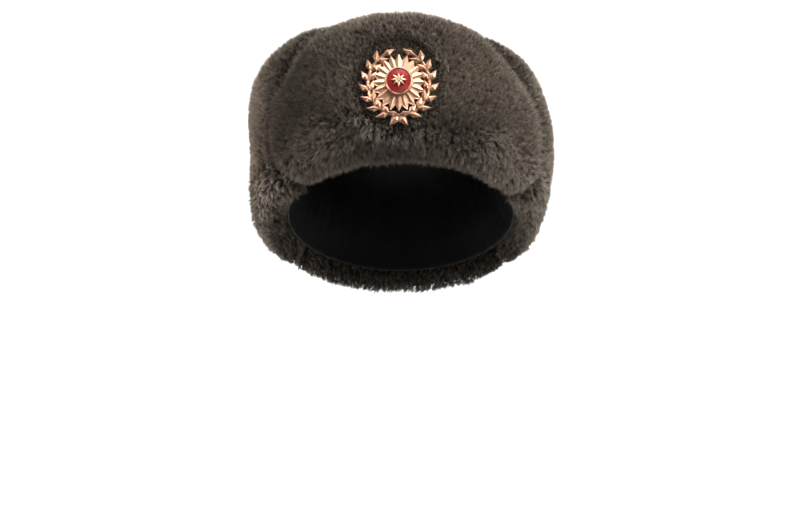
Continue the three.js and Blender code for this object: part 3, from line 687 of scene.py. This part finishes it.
def furred(node, counts, share, nap, lean, seed, width=1.0, voxel=PAD_VOXEL):
    """A pad for the node with its pile, in one piece for each count of strands."""
    pad = make_pad(node, node + "_pad", voxel)
    for part, count in enumerate(counts):
        make_pile(pad, node + "_pile" + "_b" * part, count, seed + part, share, nap, lean, width)


furred("visor", (94000, 94000), outside_share, flap_nap, flap_lean(0.35), seed=1)
furred("ear_flap_left", (71000,), outside_share, flap_nap, flap_lean(0.12), seed=11, width=1.15)
furred("ear_flap_right", (71000,), outside_share, flap_nap, flap_lean(0.12), seed=21, width=1.15)
furred("nape_flap", (52000,), outside_share, flap_nap, flap_lean(0.2), seed=31, width=1.5)
furred("crown", (44000,), crown_share, crown_nap, crown_lean, seed=41, width=1.4, voxel=CROWN_VOXEL)


def make_lining():
    """The lining with soft puckers that run up from the rim."""
    lining = merged_copy("lining", "lining_cloth")
    rounding = lining.modifiers.new("round", "SUBSURF")
    rounding.levels = rounding.render_levels = LINING_ROUNDING
    apply_modifiers(lining)
    mesh = lining.data
    places = read_rows(mesh.vertices, "co")
    at = hat_frame(places)
    turn = np.arctan2(at[:, 0], -at[:, 1])
    sway, length = PUCKER_DRIFT
    drift = sway * swirl(places, np.random.default_rng(LINING_SEED), length)[:, 0]
    rise = np.clip(at[:, 2] / PUCKER_HEIGHT, 0, 1)
    fade = (PUCKERS_AT_RIM + (1 - PUCKERS_AT_RIM) * rise) * (1 - rise ** PUCKER_END)
    pucker = (0.5 + 0.5 * np.sin(PUCKERS * turn + drift)) * fade
    level = np.zeros(len(places))
    inwards = unit(np.stack([-places[:, 0], RIM_MIDDLE.y - places[:, 1], level], axis=1))
    places += inwards * (PUCKER_DEPTH * pucker)[:, None]
    mesh.vertices.foreach_set("co", places.ravel())
    mesh.update()
    shade_smooth(mesh)
    mesh.materials.append(materials["lining"])
    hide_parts("lining")
    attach(lining, "root")


def engrave(work):
    """Sinks the middle of each broad facet that faces forwards."""
    broad = [
        face for face in work.faces
        if face.calc_area() > ENGRAVED_AREA and face.normal.y < ENGRAVED_FACING
        and face.calc_area() / face.calc_perimeter() ** 2 > ENGRAVED_FULLNESS
    ]
    bmesh.ops.inset_individual(
        work, faces=broad, thickness=ENGRAVED_MARGIN, depth=-ENGRAVED_DEPTH, use_even_offset=True
    )


def make_casting(node, name, finish, engraved=False):
    """A badge piece with its edges rounded over, and its broad facets engraved where it has any."""
    casting = merged_copy(node, name)
    work = bmesh.new()
    work.from_mesh(casting.data)
    bmesh.ops.dissolve_limit(work, angle_limit=FLAT_ANGLE, verts=work.verts, edges=work.edges)
    if engraved:
        engrave(work)
    work.to_mesh(casting.data)
    work.free()
    bevel = casting.modifiers.new("worn_edges", "BEVEL")
    bevel.width = WORN_EDGE
    bevel.segments = 2
    bevel.limit_method = "ANGLE"
    bevel.angle_limit = WORN_ANGLE
    casting.data.materials.append(materials[finish])
    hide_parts(node)
    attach(casting, "root")


make_lining()
make_casting("badge_metal", "badge_casting", "metal", engraved=True)
make_casting("badge_rosette", "badge_star", "metal")
make_casting("badge_enamel", "badge_glass", "enamel")


def make_camera():
    """The photograph's camera, level and in front of the hat."""
    data = bpy.data.cameras.new("camera")
    data.sensor_width = SENSOR_WIDTH
    data.lens = FOCAL_PIXELS / PHOTO_WIDTH * data.sensor_width
    camera = new_object("camera", data)
    camera.location = RIM_MIDDLE + Vector((CAMERA_ASIDE, -CAMERA_DISTANCE, -CAMERA_DROP))
    camera.rotation_euler = (math.radians(90), 0, 0)
    bpy.context.scene.camera = camera


def make_backdrop():
    """A pale floor that sweeps up behind the hat."""
    work = bmesh.new()
    profile = [Vector((-FLOOR_HALF, FLOOR_FRONT, 0)), Vector((-FLOOR_HALF, FLOOR_BACK, 0))]
    for step in range(1, SWEEP_STEPS + 1):
        turn = math.radians(90 * step / SWEEP_STEPS)
        back = FLOOR_BACK + SWEEP_RADIUS * math.sin(turn)
        profile.append(Vector((-FLOOR_HALF, back, SWEEP_RADIUS - SWEEP_RADIUS * math.cos(turn))))
    profile.append(Vector((-FLOOR_HALF, FLOOR_BACK + SWEEP_RADIUS, BACKDROP_TOP)))
    verts = [work.verts.new(p) for p in profile]
    edges = [work.edges.new(pair) for pair in zip(verts, verts[1:])]
    swept = bmesh.ops.extrude_edge_only(work, edges=edges)
    moved = [item for item in swept["geom"] if isinstance(item, bmesh.types.BMVert)]
    bmesh.ops.translate(work, verts=moved, vec=(2 * FLOOR_HALF, 0, 0))
    mesh = bpy.data.meshes.new("backdrop")
    work.to_mesh(mesh)
    work.free()
    shade_smooth(mesh)
    backdrop = new_object("backdrop", mesh)
    backdrop.location.z = cad_box[0][2] - FLOOR_DROP
    material, _, _, shader = make_material("pale_paper")
    set_socket(shader, "Base Color", (0.86, 0.86, 0.86, 1))
    set_socket(shader, "Roughness", 0.9)
    mesh.materials.append(material)


def make_light(name, place, aim, size, power):
    data = bpy.data.lights.new(name, "AREA")
    data.size = size
    data.energy = power
    light = new_object(name, data)
    light.location = place
    light.rotation_euler = (Vector(aim) - Vector(place)).to_track_quat("-Z", "Y").to_euler()


def make_world():
    world = bpy.data.worlds.new("studio")
    world.use_nodes = True
    background = world.node_tree.nodes["Background"]
    set_socket(background, "Color", (1, 1, 1, 1))
    set_socket(background, "Strength", WORLD_LIGHT)
    bpy.context.scene.world = world


make_camera()
make_backdrop()
for row in LIGHTS:
    make_light(*row)
make_world()
bpy.context.scene.view_settings.view_transform = "Standard"
